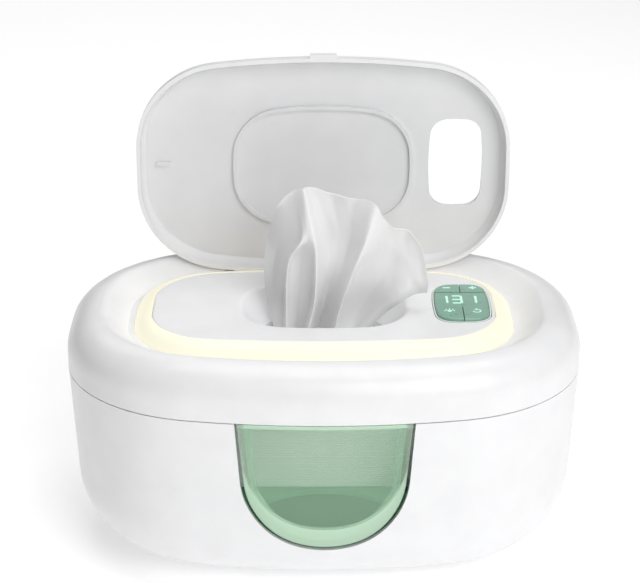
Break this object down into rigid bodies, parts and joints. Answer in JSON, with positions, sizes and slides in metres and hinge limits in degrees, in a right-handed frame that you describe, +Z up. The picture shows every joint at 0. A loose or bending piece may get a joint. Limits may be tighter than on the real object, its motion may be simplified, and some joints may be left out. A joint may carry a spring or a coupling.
{
  "type": "baby wipe warmer",
  "caption": "White oval baby wipe warmer with an open flip lid, soft light ring, key panel and a green window in the front, one wipe standing in its mouth.",
  "frame": {"origin": "on the floor, in the middle of the footprint", "axes": "+X along the long side, to the right of the front; -Y is the front with the window; +Z up"},
  "size_m": [0.24, 0.1748, 0.2187],
  "materials": {
    "white_shell": "satin white moulding",
    "green_window": "clear green tint",
    "light_diffuser": "milky, lit from inside",
    "inner_plastic": "plain moulding",
    "green_tank": "tinted moulding",
    "green_panel": "satin green keys",
    "panel_frame": "light grey moulding",
    "silicone": "soft and pale",
    "foot_rubber": "matte",
    "steel": "bright drawn wire and pins",
    "heater_aluminium": "plain rolled",
    "film_amber": "polyimide film",
    "circuit_board": "solder mask",
    "black_plastic": "moulded connector",
    "wipe_cloth": "damp non-woven"
  },
  "bodies": {
    "base": {"lower_casing": "white_shell", "window": "green_window", "wipe_tank": "green_tank", "rubber_feet": "foot_rubber", "cover_hinge_pin": "steel", "lift_springs": "steel"},
    "platform": {"lift_platform": "green_tank", "wipe_stack": "wipe_cloth"},
    "top_cover": {"upper_casing": "white_shell", "deck": "white_shell", "light_ring": "light_diffuser", "led_strip": "circuit_board", "cover_liner": "inner_plastic", "cover_screws": "steel", "cover_seal": "silicone", "heating_plate": "heater_aluminium", "heater_film": "film_amber", "thermostat": "black_plastic", "main_board": "circuit_board", "control_board": "circuit_board", "panel_tray": "panel_frame", "display_lens": "green_panel", "dc_socket": "black_plastic", "lid_hinge_pin": "steel", "pulled_wipe": "wipe_cloth"},
    "flip_lid": {"flip_lid_shell": "white_shell", "flip_lid_inner": "inner_plastic", "lid_seal": "silicone"},
    "minus_key": {"key_minus": "green_panel"},
    "plus_key": {"key_plus": "green_panel"},
    "light_key": {"key_light": "green_panel"},
    "power_key": {"key_power": "green_panel"}
  },
  "joints": [
    {"name": "cover_hinge", "type": "hinge", "parent": "base", "child": "top_cover", "pos_m": [0, 0.0853, 0.09], "axis": [-1, 0, 0], "range_deg": [0, 75]},
    {"name": "lid_hinge", "type": "hinge", "parent": "top_cover", "child": "flip_lid", "pos_m": [0, 0.0554, 0.1062], "axis": [1, 0, 0], "range_deg": [0, 90], "deforming": ["pulled_wipe"]},
    {"name": "platform_lift", "type": "slide", "parent": "base", "child": "platform", "axis": [0, 0, -1], "range_m": [0, 0.012], "stiffness_N_per_m": 1200, "springref_m": -0.012, "deforming": ["lift_springs"]},
    {"name": "minus_press", "type": "slide", "parent": "top_cover", "child": "minus_key", "axis": [0, 0, -1], "range_m": [0, 0.0005], "stiffness_N_per_m": 400, "springref_m": -0.0004},
    {"name": "plus_press", "type": "slide", "parent": "top_cover", "child": "plus_key", "axis": [0, 0, -1], "range_m": [0, 0.0005], "stiffness_N_per_m": 400, "springref_m": -0.0004},
    {"name": "light_press", "type": "slide", "parent": "top_cover", "child": "light_key", "axis": [0, 0, -1], "range_m": [0, 0.0005], "stiffness_N_per_m": 400, "springref_m": -0.0004},
    {"name": "power_press", "type": "slide", "parent": "top_cover", "child": "power_key", "axis": [0, 0, -1], "range_m": [0, 0.0005], "stiffness_N_per_m": 400, "springref_m": -0.0004}
  ]
}
